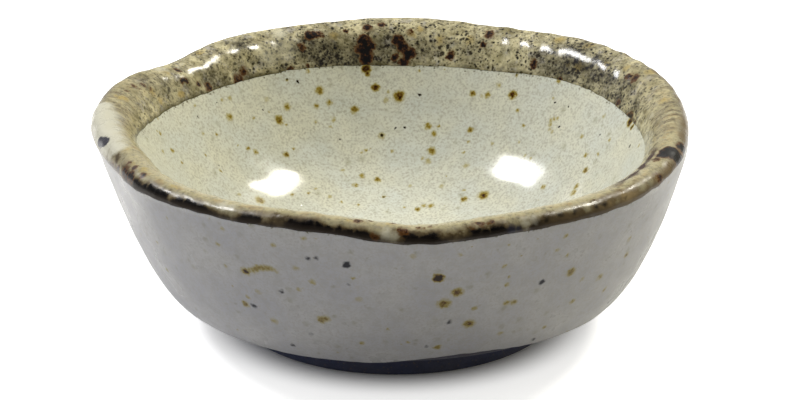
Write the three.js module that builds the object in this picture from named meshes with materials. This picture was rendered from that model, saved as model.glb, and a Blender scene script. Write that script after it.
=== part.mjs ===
// A small stoneware condiment dish. A thrown clay bowl stands on a turned foot ring.
// Speckled white glaze lines it and coats its outside, and a thicker ash glaze wraps its lip.
// Millimetres, +Z up. The foot stands on z = 0 and the outline is centred on the origin.
import * as THREE from 'three';

// Clay bowl, measured on the bare clay
const RIM_RADIUS = 49.4;
const RIM_HEIGHT = 34.8;
const LIP_THICKNESS = 3.2;
const SHOULDER_RADIUS = 5.2; // the broad round from the lip to the inside wall
const SHOULDER_START = 100; // degrees round the lip, where the shoulder takes over from it
const WALL_LEAN = 20.2; // degrees from upright, outside
const INNER_LEAN = 32; // degrees from upright, just inside the lip
const BELLY_HEIGHT = 8.4; // where the straight wall would meet the underside
const BELLY_CURVE_UP = 18; // how far up the wall the belly curve starts
const BELLY_CURVE_IN = 4; // how far in under the belly the curve ends
const FLOOR_THICKNESS = 3.6;
const INNER_WALL_PULL = 21; // length of the inside curve's upper handle
const FLOOR_FLAT_RADIUS = 29; // length of the inside curve's handle along the floor

// Foot ring
const FOOT_RADIUS = 27.8;
const FOOT_HEIGHT = 3.4;
const FOOT_WIDTH = 3.8;
const FOOT_TAPER = 0.5; // the ring narrows by this much on each side towards its sole
const FOOT_EDGE_ROUND = 0.6;

// Glaze coats
const GLAZE_THICKNESS = 0.5;
const BAND_THICKNESS = 0.6;
const BAND_OUTSIDE = 2.3; // from the crown of the lip, along the clay
const BAND_INSIDE = 8.3; // from the crown of the lip, along the clay
const GLAZE_STOP = 10.4; // bare clay left outside the foot ring

// Clearances between faces that seat on each other
const SEAT = 0.05;
const EDGE_GAP = 0.1;

// Where fingers moved the soft rim: angle and spread in degrees, push in and drop in millimetres
const RIM_RISE_AT_BACK = 0.5;
const FINGER_PRESSES = [
  { angle: 356, push: 2.2, drop: 0.3, spread: 17 },
  { angle: 67, push: 0.2, drop: 0.8, spread: 10 },
  { angle: 110, push: 0.6, drop: 0.5, spread: 15 },
  { angle: 144, push: 1.0, drop: 1.4, spread: 8.5 },
  { angle: 201, push: 1.6, drop: 0.0, spread: 9 },
  { angle: 257, push: 0.0, drop: -0.6, spread: 9 },
  { angle: 273, push: 0.0, drop: 1.0, spread: 8 },
  { angle: 316, push: 0.0, drop: 0.4, spread: 22 },
];

// Facets
const TURN_STEPS = 60;
const OUTSIDE_ROWS = 12;
const BAND_ROWS = 12;
const INSIDE_ROWS = 11;
const FOOT_EDGE_ROWS = 2;

const radians = THREE.MathUtils.degToRad;

// Clay profile as radius and height: underside, belly, wall, lip, shoulder, then the inside to the axis
const footTop = FOOT_HEIGHT + SEAT;
const floorTop = footTop + FLOOR_THICKNESS;
const lipRadius = LIP_THICKNESS / 2;
const lipCentre = new THREE.Vector2(RIM_RADIUS - lipRadius, RIM_HEIGHT - lipRadius);

function onRound(centre, radius, degrees) {
  const angle = radians(degrees);
  const spoke = new THREE.Vector2(Math.cos(angle), Math.sin(angle));
  return centre.clone().addScaledVector(spoke, radius);
}

function roundCurve(centre, radius, fromDegrees, toDegrees) {
  return new THREE.EllipseCurve(
    centre.x, centre.y, radius, radius, radians(fromDegrees), radians(toDegrees));
}

function upWall(degrees) {
  return new THREE.Vector2(Math.sin(radians(degrees)), Math.cos(radians(degrees)));
}

const wallUp = upWall(WALL_LEAN);
const wallTop = onRound(lipCentre, lipRadius, -WALL_LEAN);
const bellyDrop = (wallTop.y - BELLY_HEIGHT) / wallUp.y;
const bellyCorner = wallTop.clone().addScaledVector(wallUp, -bellyDrop);
const footCorner = new THREE.Vector2(FOOT_RADIUS, footTop);
const underDirection = bellyCorner.clone().sub(footCorner).normalize();
const bellyStart = bellyCorner.clone().addScaledVector(underDirection, -BELLY_CURVE_IN);
const bellyEnd = bellyCorner.clone().addScaledVector(wallUp, BELLY_CURVE_UP);
const shoulderEnd = 180 - INNER_LEAN;
const shoulderCentre = onRound(lipCentre, lipRadius - SHOULDER_RADIUS, SHOULDER_START);
const insideTop = onRound(shoulderCentre, SHOULDER_RADIUS, shoulderEnd);
const insidePull = insideTop.clone().addScaledVector(upWall(INNER_LEAN), -INNER_WALL_PULL);
const floorPull = new THREE.Vector2(FLOOR_FLAT_RADIUS, floorTop);
const floorCentre = new THREE.Vector2(0, floorTop);

const clayProfile = new THREE.CurvePath();
clayProfile.add(new THREE.LineCurve(footCorner, bellyStart));
clayProfile.add(new THREE.QuadraticBezierCurve(bellyStart, bellyCorner, bellyEnd));
clayProfile.add(new THREE.LineCurve(bellyEnd, wallTop));
clayProfile.add(roundCurve(lipCentre, lipRadius, -WALL_LEAN, SHOULDER_START));
clayProfile.add(roundCurve(shoulderCentre, SHOULDER_RADIUS, SHOULDER_START, shoulderEnd));
clayProfile.add(new THREE.CubicBezierCurve(insideTop, insidePull, floorPull, floorCentre));

// Places along the clay, as distances from the foot corner
const pathLengths = clayProfile.getCurveLengths();
const pathEnd = pathLengths.at(-1);
const crown = pathLengths[2] + lipRadius * radians(90 + WALL_LEAN);
const bandStart = crown - BAND_OUTSIDE;
const bandEnd = crown + BAND_INSIDE;
const outsideEnd = bandStart - EDGE_GAP;
const insideStart = bandEnd + EDGE_GAP;

// Point at a distance along the clay, lifted off its face by the given height
function clayPoint(distance, lift) {
  if (distance >= pathEnd) {
    return new THREE.Vector2(0, floorTop + lift);
  }
  const along = distance / pathEnd;
  const tangent = clayProfile.getTangentAt(along);
  const outward = new THREE.Vector2(tangent.y, -tangent.x);
  return clayProfile.getPointAt(along).addScaledVector(outward, lift);
}

// Rows between two distances along the clay, all at one height off its face
function clayRows(from, to, rows, lift) {
  return Array.from({ length: rows + 1 }, (_, row) =>
    clayPoint(THREE.MathUtils.lerp(from, to, row / rows), lift));
}

// Finger presses move a point in and down, most at the rim and not at all at the foot or the axis
function pressRim(geometry) {
  const position = geometry.attributes.position;
  for (let i = 0; i < position.count; i += 1) {
    const x = position.getX(i);
    const y = position.getY(i);
    const z = position.getZ(i);
    const radius = Math.hypot(x, y);
    const turn = Math.atan2(y, x);
    const rise = Math.max(0, (z - footTop) / (RIM_HEIGHT - footTop));
    const share = rise ** 2 * (radius / RIM_RADIUS);
    let push = 0;
    let drop = -RIM_RISE_AT_BACK * Math.sin(turn);
    for (const press of FINGER_PRESSES) {
      const away = THREE.MathUtils.euclideanModulo(
        turn - radians(press.angle) + Math.PI, 2 * Math.PI) - Math.PI;
      const reach = Math.exp(-0.5 * (away / radians(press.spread)) ** 2);
      push += press.push * reach;
      drop += press.drop * reach;
    }
    const scale = radius > 0 ? 1 - (share * push) / radius : 1;
    position.setXYZ(i, x * scale, y * scale, z - share * drop);
  }
}

// Turns a profile about the upright axis
function turned(profile) {
  const geometry = new THREE.LatheGeometry(profile, TURN_STEPS);
  geometry.rotateX(Math.PI / 2);
  return geometry;
}

// A coat that lies on the clay between two distances, closed into a ring or a lining
function coat(from, to, rows, thickness) {
  const face = clayRows(from, to, rows, SEAT + thickness);
  const back = clayRows(from, to, rows, SEAT).reverse();
  const profile = [...face, ...back];
  if (to < pathEnd) {
    profile.push(face[0].clone());
  } else {
    profile.unshift(back.at(-1).clone());
  }
  const geometry = turned(profile);
  pressRim(geometry);
  return geometry;
}

function clayBowl() {
  const profile = [
    new THREE.Vector2(0, footTop),
    new THREE.Vector2(FOOT_RADIUS - FOOT_WIDTH, footTop),
    footCorner.clone(),
    ...clayRows(GLAZE_STOP, outsideEnd, OUTSIDE_ROWS, 0),
    ...clayRows(bandStart, bandEnd, BAND_ROWS, 0),
    ...clayRows(insideStart, pathEnd, INSIDE_ROWS, 0),
  ];
  const geometry = turned(profile);
  pressRim(geometry);
  return geometry;
}

// A rounded lower edge of the foot, from its side to its sole or back
function footEdge(centre, fromDegrees, toDegrees) {
  const arc = new THREE.EllipseCurve(
    centre, FOOT_EDGE_ROUND, FOOT_EDGE_ROUND, FOOT_EDGE_ROUND,
    radians(fromDegrees), radians(toDegrees), toDegrees < fromDegrees);
  return arc.getPoints(FOOT_EDGE_ROWS);
}

function footRing() {
  const topInner = FOOT_RADIUS - FOOT_WIDTH;
  const innerEdge = topInner + FOOT_TAPER + FOOT_EDGE_ROUND;
  const outerEdge = FOOT_RADIUS - FOOT_TAPER - FOOT_EDGE_ROUND;
  const profile = [
    new THREE.Vector2(topInner, FOOT_HEIGHT),
    ...footEdge(innerEdge, 180, 270),
    ...footEdge(outerEdge, 270, 360),
    new THREE.Vector2(FOOT_RADIUS, FOOT_HEIGHT),
    new THREE.Vector2(topInner, FOOT_HEIGHT),
  ];
  return turned(profile);
}

function piece(name, geometry, color, roughness) {
  const material = new THREE.MeshStandardMaterial({ color, roughness, metalness: 0 });
  const mesh = new THREE.Mesh(geometry, material);
  mesh.name = name;
  return mesh;
}

const dish = new THREE.Group();
dish.add(piece('clay_bowl', clayBowl(), 0x6f5d4c, 0.85));
dish.add(piece('foot_ring', footRing(), 0x3a322d, 0.8));
dish.add(piece('inner_glaze',
  coat(insideStart, pathEnd, INSIDE_ROWS, GLAZE_THICKNESS), 0xcfccb8, 0.2));
dish.add(piece('outer_glaze',
  coat(GLAZE_STOP, outsideEnd, OUTSIDE_ROWS, GLAZE_THICKNESS), 0xc3c1b9, 0.3));
dish.add(piece('rim_band',
  coat(bandStart, bandEnd, BAND_ROWS, BAND_THICKNESS), 0x8a7d5c, 0.3));

// The pressed rim isn't quite round, so its outline is centred on the origin
const outline = new THREE.Box3().setFromObject(dish).getCenter(new THREE.Vector3());
dish.position.set(-outline.x, -outline.y, 0);

export default dish;
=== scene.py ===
# %% [markdown]
# # A small stoneware condiment dish
#
# The real dish is thrown on a wheel, pressed out of round while it is soft, turned to leave a low foot
# ring, dipped in a white glaze, and dipped again upside down so that an ash and iron glaze runs over the
# lip. Every surface of it is therefore a turned profile that hands have moved a little. This lesson makes
# each coat and each clay part that way: a profile, a turn about the axis, and the presses of the fingers.
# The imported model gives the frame, and each new piece stands in the place of one of its nodes.

import bpy
import numpy as np
from mathutils import Euler, Matrix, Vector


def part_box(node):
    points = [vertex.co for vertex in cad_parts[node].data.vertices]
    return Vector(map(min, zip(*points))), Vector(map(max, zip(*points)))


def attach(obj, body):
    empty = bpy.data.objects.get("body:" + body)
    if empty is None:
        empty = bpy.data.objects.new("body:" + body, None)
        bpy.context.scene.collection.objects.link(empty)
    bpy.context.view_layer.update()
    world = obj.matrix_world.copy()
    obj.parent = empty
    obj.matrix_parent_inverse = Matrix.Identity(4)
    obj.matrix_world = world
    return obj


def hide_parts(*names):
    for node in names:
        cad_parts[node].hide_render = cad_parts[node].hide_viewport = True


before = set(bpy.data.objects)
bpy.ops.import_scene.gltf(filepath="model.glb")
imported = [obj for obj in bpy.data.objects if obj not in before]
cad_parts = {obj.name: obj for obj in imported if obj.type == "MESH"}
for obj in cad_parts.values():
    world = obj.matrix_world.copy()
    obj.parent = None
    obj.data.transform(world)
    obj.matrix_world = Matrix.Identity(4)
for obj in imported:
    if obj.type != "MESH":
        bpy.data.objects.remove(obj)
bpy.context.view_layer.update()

MM = 0.001
foot_low, foot_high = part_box("foot_ring")
AXIS = np.array((foot_low + foot_high) / 2)[:2] / MM
print("nodes", sorted(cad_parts), "axis of the turning, mm", AXIS.round(3))

# %% [markdown]
# ## The camera
#
# The camera comes first, because marks in the glaze are placed by what it sees. It looks down on the dish
# from the front. Its angle, distance and focal length make the outline of the model fall on the outline of
# the dish in the picture. Two functions repeat the camera in numpy: one says on which pixel a point falls,
# the other finds the points of a surface that fall on some pixels.

# %% Camera at the photograph's angle
IMAGE_WIDTH, IMAGE_HEIGHT = 800, 400
CAMERA_ELEVATION = np.radians(21.633)
CAMERA_DISTANCE = 466.175
CAMERA_AIM = np.array([1.639, 0.0, 19.412])
FOCAL_PIXELS = 2806.43
SENSOR_WIDTH = 36.0

look = np.array([0.0, np.cos(CAMERA_ELEVATION), -np.sin(CAMERA_ELEVATION)])
right = np.array([1.0, 0.0, 0.0])
above = np.cross(right, look)
eye = CAMERA_AIM - CAMERA_DISTANCE * look

camera = bpy.data.objects.new("camera", bpy.data.cameras.new("camera"))
camera.data.sensor_width = SENSOR_WIDTH
camera.data.lens = FOCAL_PIXELS * SENSOR_WIDTH / IMAGE_WIDTH
camera.location = eye * MM
camera.rotation_euler = (np.pi / 2 - CAMERA_ELEVATION, 0.0, 0.0)
bpy.context.scene.collection.objects.link(camera)
bpy.context.scene.camera = camera
bpy.context.scene.view_settings.view_transform = "Standard"
print("lens, mm", round(camera.data.lens, 2), "eye, mm", eye.round(1))


# %% The camera in numpy
def pixels(points):
    """Where points fall in the picture: the offset from the eye, split along the view's right, up and
    forward directions, then sideways over depth times the focal length, from the middle of the frame."""
    offset = points - eye
    scale = FOCAL_PIXELS / (offset @ look)
    across = IMAGE_WIDTH / 2 + scale * (offset @ right)
    down = IMAGE_HEIGHT / 2 - scale * (offset @ above)
    return np.stack([across, down], axis=-1)


def seen_at(points, wanted):
    """Index, in a grid of points, of the one that faces the eye and falls closest to each wanted pixel.
    The normal is the change along the turn crossed with the change along the section."""
    normals = np.cross(np.gradient(points, axis=1), np.gradient(points, axis=0))
    facing = np.flatnonzero(np.sum(normals * (eye - points), axis=-1).ravel() > 0)
    fall = pixels(points.reshape(-1, 3)[facing])
    return facing[[np.argmin(np.sum((fall - pixel) ** 2, axis=-1)) for pixel in wanted]]


print("the aim falls on pixel", pixels(CAMERA_AIM).round(1))

# %% [markdown]
# ## The profile of the clay
#
# A potter reads a bowl by its section. The section here runs from the foot's outer corner along the
# underside, round the belly, up the leaning wall, over the round lip, down a broad shoulder inside it and
# on to the middle of the floor. It could be drawn as one spline, but lines, two arcs and two Bezier curves
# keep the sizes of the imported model. Every place on the dish is then a distance along this line, a lift off
# it and an angle.

# %% Sizes of the profile
RIM_RADIUS, RIM_HEIGHT, LIP_THICKNESS = 49.4, 34.8, 3.2
SHOULDER_RADIUS, SHOULDER_START = 5.2, 100.0  # millimetres, degrees round the lip
WALL_LEAN, INNER_LEAN = 20.2, 32.0  # degrees from upright
BELLY_HEIGHT, BELLY_CURVE_UP, BELLY_CURVE_IN = 8.4, 18.0, 4.0
FLOOR_THICKNESS, INNER_WALL_PULL, FLOOR_FLAT_RADIUS = 3.6, 21.0, 29.0
FOOT_RADIUS, FOOT_HEIGHT = 27.8, 3.4
SEAT = 0.05
foot_top = FOOT_HEIGHT + SEAT
floor_top = foot_top + FLOOR_THICKNESS
lip_radius = LIP_THICKNESS / 2
lip_centre = np.array([RIM_RADIUS - lip_radius, RIM_HEIGHT - lip_radius])
print("radius and height, mm: middle of the lip", lip_centre.round(2))


# %% Corners of the profile
def on_round(centre, radius, degrees):
    """A point on a round of the section: its centre plus its radius turned by the angle."""
    angle = np.radians(degrees)
    return centre + radius * np.stack([np.cos(angle), np.sin(angle)], axis=-1)


def up_wall(degrees):
    """Direction up a wall that leans out from upright by the angle."""
    return np.array([np.sin(np.radians(degrees)), np.cos(np.radians(degrees))])


wall_top = on_round(lip_centre, lip_radius, -WALL_LEAN)
wall_up = up_wall(WALL_LEAN)
belly_corner = wall_top - wall_up * (wall_top[1] - BELLY_HEIGHT) / wall_up[1]
foot_corner = np.array([FOOT_RADIUS, foot_top])
under = (belly_corner - foot_corner) / np.linalg.norm(belly_corner - foot_corner)
belly_start = belly_corner - under * BELLY_CURVE_IN
belly_end = belly_corner + wall_up * BELLY_CURVE_UP
shoulder_end = 180 - INNER_LEAN
shoulder_centre = on_round(lip_centre, lip_radius - SHOULDER_RADIUS, SHOULDER_START)
inside_top = on_round(shoulder_centre, SHOULDER_RADIUS, shoulder_end)
inside_pull = inside_top - up_wall(INNER_LEAN) * INNER_WALL_PULL
floor_pull = np.array([FLOOR_FLAT_RADIUS, floor_top])
floor_centre = np.array([0.0, floor_top])
print("radius and height, mm: belly", belly_corner.round(2), "top of the inside wall", inside_top.round(2))

# %% The profile as one measured line
SAMPLES = 400
t = np.linspace(0, 1, SAMPLES)[:, None]
lip_turn = np.linspace(-WALL_LEAN, SHOULDER_START, SAMPLES)
shoulder_turn = np.linspace(SHOULDER_START, shoulder_end, SAMPLES)
profile = np.concatenate([
    foot_corner + (belly_start - foot_corner) * t[:-1],
    ((1 - t) ** 2 * belly_start + 2 * t * (1 - t) * belly_corner + t ** 2 * belly_end)[:-1],
    belly_end + (wall_top - belly_end) * t[:-1],
    on_round(lip_centre, lip_radius, lip_turn)[:-1],
    on_round(shoulder_centre, SHOULDER_RADIUS, shoulder_turn)[:-1],
    (1 - t) ** 3 * inside_top + 3 * t * (1 - t) ** 2 * inside_pull
    + 3 * t ** 2 * (1 - t) * floor_pull + t ** 3 * floor_centre,
])
steps = np.linalg.norm(np.diff(profile, axis=0), axis=1)
along = np.concatenate([[0.0], np.cumsum(steps)])
heading = np.gradient(profile, along, axis=0)
heading /= np.linalg.norm(heading, axis=1, keepdims=True)
PATH_END = along[-1]
lip_start = along[3 * (SAMPLES - 1)]  # the lip is the fourth part of the line
CROWN = lip_start + lip_radius * np.radians(90 + WALL_LEAN)


def on_clay(distance, lift):
    """Radius and height at a distance along the profile, moved off it by the lift: the outward direction
    is the line's heading turned a quarter to the right."""
    radius, height = (np.interp(distance, along, profile[:, k]) for k in (0, 1))
    out, up = (np.interp(distance, along, heading[:, k]) for k in (0, 1))
    return radius + up * lift, height - out * lift


print("profile, mm: length", PATH_END.round(2), "crown of the lip at", CROWN.round(2))

# %% [markdown]
# ## Pressing the rim
#
# While the clay was soft, fingers pushed the rim in and down at a few places, and that is what makes this
# dish this one. Each press is a smooth bump round the rim. Its share grows with the square of the height,
# so the foot stays round. Hands also leave gentle lumps everywhere, and throwing leaves a faint spiral, so
# a sum of seeded waves moves every face by about a tenth of a millimetre. A sculpted mesh could hold the
# same, but a formula moves all coats alike and keeps them on each other.

# %% Finger presses
RIM_RISE_AT_BACK = 0.5
FINGER_PRESSES = [  # angle in degrees, push in and drop in millimetres, spread in degrees
    (356, 2.2, 0.3, 17), (67, 0.2, 0.8, 10), (110, 0.6, 0.5, 15), (144, 1.0, 1.4, 8.5),
    (201, 1.6, 0.0, 9), (257, 0.0, -0.6, 9), (273, 0.0, 1.0, 8), (316, 0.0, 0.4, 22),
]


def pressed(radius, height, angle):
    """Moves points in and down: the share is the square of the rise above the foot times the radius over
    the rim's, and each press adds its push and drop times a bell curve of the angle away from it."""
    rise = np.maximum(0, (height - foot_top) / (RIM_HEIGHT - foot_top))
    share = rise ** 2 * radius / RIM_RADIUS
    push, drop = 0.0, -RIM_RISE_AT_BACK * np.sin(angle)
    for centre, press_in, press_down, spread in FINGER_PRESSES:
        away = (angle - np.radians(centre) + np.pi) % (2 * np.pi) - np.pi
        reach = np.exp(-0.5 * (away / np.radians(spread)) ** 2)
        push, drop = push + press_in * reach, drop + press_down * reach
    return radius - share * push, height - share * drop


def about_axis(radius, height, angle):
    """Points at a radius and an angle about the axis of the turning, at a height."""
    return np.stack([AXIS[0] + radius * np.cos(angle), AXIS[1] + radius * np.sin(angle), height], axis=-1)


def dish_points(distance, angle, lift):
    """Points of the dish in millimetres: the profile lifted, pressed, and turned about the axis."""
    radius, height = pressed(*on_clay(distance, lift), angle)
    return about_axis(radius, height, angle)


degree_steps = np.linspace(0, 2 * np.pi, 360, endpoint=False)
rim_line = dish_points(CROWN, degree_steps, 0.0)
print("rim, mm: height", rim_line[:, 2].min().round(2), "to", rim_line[:, 2].max().round(2))

# %% Lumps left by hands and the wheel
LUMP_COUNT, LUMP_SIZE = 40, 0.032
SPIRAL_PITCH, SPIRAL_HEIGHT = 5.2, 0.015
CALM_AT_AXIS, CALM_AT_FOOT = 14.0, 6.0  # the lumps fade out over these distances
waves = np.random.default_rng(11)
hand_waves = (waves.integers(2, 26, LUMP_COUNT), waves.uniform(8, 34, LUMP_COUNT),
              waves.uniform(0, 2 * np.pi, LUMP_COUNT))


def wave_sum(distance, angle, kind):
    """Sum of cosines, each with a whole number of turns round the dish, a length along the profile and a
    phase, divided by the root of half their number so that its spread is one."""
    total = sum(np.cos(n * angle + 2 * np.pi * distance / length + phase)
                for n, length, phase in zip(*kind))
    return total / np.sqrt(len(kind[0]) / 2)


def hand_lumps(distance, angle):
    """Height of the lumps: the sum of waves times their size, plus a spiral ridge that climbs one pitch a
    turn, both calmed towards the axis and the foot."""
    spiral = np.cos(2 * np.pi * distance / SPIRAL_PITCH + angle)
    calm = np.clip((PATH_END - distance) / CALM_AT_AXIS, 0, 1) * np.clip(distance / CALM_AT_FOOT, 0, 1)
    return calm * (LUMP_SIZE * wave_sum(distance, angle, hand_waves) + SPIRAL_HEIGHT * spiral)


lip_lumps = hand_lumps(CROWN, degree_steps)
print("lumps on the lip, mm", lip_lumps.min().round(3), "to", lip_lumps.max().round(3))

# %% [markdown]
# ## From a grid to a closed mesh
#
# Each piece is a grid: rows follow its section and columns go round the axis. A ring's rows close on
# themselves. A lining or the bowl starts and ends on the axis, where a row becomes one point, so that no
# hole is left. The grid also carries the unrolled place of every point: two numbers that go round the rim
# without a seam, and the distance from the crown of the lip. Glaze runs follow that, and not the axes.

# %% Turned mesh
TURNS = 480
turn = np.linspace(0, 2 * np.pi, TURNS, endpoint=False)[None, :]


def turned_mesh(name, points, distance, poles=False):
    """A closed mesh from a grid of points, rows by turns. Face corners go along the turn, then along the
    section, so that faces point out. With poles, the first and last rows become one point each."""
    rows, turns = points.shape[:2]
    angle = np.linspace(0, 2 * np.pi, turns, endpoint=False)[None, :] + 0 * distance
    rim = RIM_RADIUS * np.cos(angle), RIM_RADIUS * np.sin(angle)
    unrolled = np.stack([*rim, distance - CROWN], axis=-1)
    index = np.arange(rows * turns).reshape(rows, turns)
    if poles:
        index = np.clip(index, turns - 1, (rows - 1) * turns) - (turns - 1)
        kept = slice(turns - 1, (rows - 1) * turns + 1)
        lower, upper = index[:-1], index[1:]
    else:
        kept = slice(None)
        lower, upper = index, np.roll(index, -1, axis=0)
    quads = np.stack([lower, np.roll(lower, -1, axis=1), np.roll(upper, -1, axis=1), upper], axis=-1)
    faces = quads.reshape(-1, 4).tolist()
    if poles:
        fans = quads[0][:, 1:].tolist(), quads[-1][:, :3].tolist()
        faces = fans[0] + quads[1:-1].reshape(-1, 4).tolist() + fans[1]
    mesh = bpy.data.meshes.new(name)
    mesh.from_pydata(points.reshape(-1, 3)[kept] * MM, [], faces)
    mesh.shade_smooth()
    place = mesh.attributes.new("unrolled", "FLOAT_VECTOR", "POINT")
    place.data.foreach_set("vector", unrolled.reshape(-1, 3)[kept].astype(np.float32).ravel())
    piece = bpy.data.objects.new(name, mesh)
    bpy.context.scene.collection.objects.link(piece)
    edges = np.empty(len(mesh.loops), np.int32)
    mesh.loops.foreach_get("edge_index", edges)
    print(name, "triangles", sum(len(face) - 2 for face in faces),
          "edges not shared by two faces", np.count_nonzero(np.bincount(edges) != 2))
    return piece


def carry(piece, name, values):
    """Writes one number to every point of a piece, for its material to read."""
    numbers = piece.data.attributes.new(name, "FLOAT", "POINT")
    numbers.data.foreach_set("value", values.astype(np.float32).ravel())


print("step round the rim, mm", round(2 * np.pi * RIM_RADIUS / TURNS, 2))

# %% [markdown]
# ## Where the coats end
#
# A dipped edge is never straight. The inside edge of the rim band, its outside edge and the lower edge of
# the white coat each wander by a millimetre or more round the dish. Each is a distance along the profile
# plus a wave: a few listed angles with how far the edge runs past its mean there, joined and smoothed.

# %% How far the edges wander
BAND_OUTSIDE, BAND_INSIDE, GLAZE_STOP = 2.3, 8.3, 10.4
INSIDE_EDGE_WAVE = [  # angle in degrees, millimetres past the mean
    (11, -0.2), (22, 0.0), (40, -0.3), (53, -0.1), (64, 0.4), (74, 0.6), (89, 1.1), (102, 0.5), (114, 0.1),
    (128, 0.3), (138, -0.3), (145, -0.7), (153, -0.4), (163, -0.2), (172, -0.7), (188, -2.6), (202, -2.6),
    (225, -1.4), (260, -0.8), (300, -1.2), (335, -2.2), (354, -1.4),
]
OUTSIDE_EDGE_WAVE = [
    (20, 0.3), (60, -0.2), (100, 0.4), (140, -0.1), (175, 0.9), (190, 1.5), (201, 0.9), (214, 0.5),
    (229, 0.0), (240, -0.1), (252, 0.0), (288, 0.2), (304, 0.15), (314, 0.3), (331, -0.3), (344, -0.2),
]
GLAZE_STOP_WAVE = [
    (0, -1.0), (40, 0.6), (90, -0.4), (140, 0.9), (190, -0.6), (246, -0.6), (257, 0.0), (264, -0.4),
    (271, 0.7), (280, 1.9), (290, 2.1), (303, 0.9), (330, -0.5),
]
print("places set on the three edges", len(INSIDE_EDGE_WAVE), len(OUTSIDE_EDGE_WAVE), len(GLAZE_STOP_WAVE))

# %% Wavy edges
WAVE_SMOOTHING = np.radians(4)
EDGE_TREMBLE, TREMBLES = 0.04, 8
tremble_turns = waves.integers(24, 90, (3, TREMBLES))
tremble_phases = waves.uniform(0, 2 * np.pi, (3, TREMBLES))


def edge_wave(table, angle, which):
    """How far an edge runs past its mean: the table joined by straight lines round the circle, averaged
    over five neighbouring angles, plus a tremble of eight short cosines."""
    degrees, past = np.array(table, float).T
    spread = np.linspace(-1, 1, 5) * WAVE_SMOOTHING
    joined = sum(np.interp(np.degrees(angle + d), degrees, past, period=360) for d in spread) / spread.size
    short = sum(np.cos(n * angle + p) for n, p in zip(tremble_turns[which], tremble_phases[which]))
    return joined + EDGE_TREMBLE * short / np.sqrt(TREMBLES / 2)


def band_inside(angle):
    """Distance along the clay of the band's inside edge."""
    return CROWN + BAND_INSIDE + edge_wave(INSIDE_EDGE_WAVE, angle, 0)


def band_outside(angle):
    """Distance along the clay of the band's outside edge."""
    return CROWN - BAND_OUTSIDE - edge_wave(OUTSIDE_EDGE_WAVE, angle, 1)


def glaze_stop(angle):
    """Distance along the clay of the outer coat's lower edge."""
    return GLAZE_STOP + edge_wave(GLAZE_STOP_WAVE, angle, 2)


for name, edge in (("inside", band_inside(turn) - CROWN), ("outside", CROWN - band_outside(turn))):
    print("band edge", name, "from the crown, mm", edge.min().round(2), "to", edge.max().round(2))

# %% [markdown]
# ## The white glaze coats
#
# The white glaze is half a millimetre of glass over the clay. It was put on first, so it runs a little way
# under the rim band and thins out there. At the foot it was wiped back, and surface tension drew its edge
# into a rounded roll. A texture on the clay alone would look the same from afar, but a coat with its own
# thickness shows the roll and the step as light does on the real dish.

# %% Coat heights
GLAZE_THICKNESS = 0.5
TUCK, TUCK_THINNING = 1.6, 0.6  # how far the white runs under the band, and its share that is lost there
ROLL = 0.8


def smooth_step(x):
    """Rises from 0 to 1 as x does, with level ends: three times the square less twice the cube."""
    x = np.clip(x, 0, 1)
    return x * x * (3 - 2 * x)


def rounded(x):
    """A quarter circle that rises from 0 to 1 as x does, upright at its start and level at its end."""
    return np.sqrt(1 - (1 - np.clip(x, 0, 1)) ** 2)


def white_top(under_band, from_stop):
    """Height of the white glaze's face off the clay: its thickness, thinned under the band, rolled down to
    the clay where it stops."""
    thinned = 1 - TUCK_THINNING * smooth_step(under_band / TUCK)
    return SEAT + GLAZE_THICKNESS * thinned * rounded(from_stop / ROLL)


print("white glaze, mm: open", white_top(0, ROLL), "under the band", white_top(TUCK, ROLL).round(2))

# %% Inner white glaze
FACE_ROWS, BACK_ROWS = 130, 24


def between(start, end, rows):
    """Rows of distances in even steps from a start to an end."""
    return start + (end - start) * np.linspace(0, 1, rows)[:, None]


start = band_inside(turn) - TUCK
face_s, back_s = between(start, PATH_END, FACE_ROWS), between(PATH_END, start, BACK_ROWS)
face_lift = white_top(band_inside(turn) - face_s, ROLL) + hand_lumps(face_s, turn)
inner_s = np.concatenate([back_s, face_s])
inner_lift = np.concatenate([SEAT + 0 * back_s, face_lift])
inner_glaze = turned_mesh("inner_white_glaze", dish_points(inner_s, turn, inner_lift), inner_s, poles=True)
carry(inner_glaze, "from_band", (inner_s - band_inside(turn)).ravel()[TURNS - 1:1 - TURNS])

# %% Outer white glaze
OUTER_ROWS, ROLL_ROWS = 120, 10
start, end = glaze_stop(turn), band_outside(turn) + TUCK
rolled = ROLL * (1 - np.cos(np.linspace(0, np.pi / 2, ROLL_ROWS)))[:-1, None]
face_s = np.concatenate([start + rolled, between(start + ROLL, end, OUTER_ROWS)])
back_s = between(end, start, BACK_ROWS)[:-1]
from_stop = face_s - start
face_lift = white_top(face_s - band_outside(turn), from_stop)
face_lift = face_lift + hand_lumps(face_s, turn) * smooth_step(from_stop / ROLL)
outer_s = np.concatenate([face_s, back_s])
outer_lift = np.concatenate([face_lift, SEAT + 0 * back_s])
outer_glaze = turned_mesh("outer_white_glaze", dish_points(outer_s, turn, outer_lift), outer_s)
carry(outer_glaze, "from_band", band_outside(turn) - outer_s)

# %% [markdown]
# ## The rim band
#
# The second dip is thicker. It lies on the clay over the lip and laps onto the white coat at both edges,
# where it ends in a low rounded bead. Ash glaze crawls and pools as it melts, so its face is lumpier than
# the white. The band gets more turns and rows than the other coats, because the lip catches every lamp.

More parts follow.
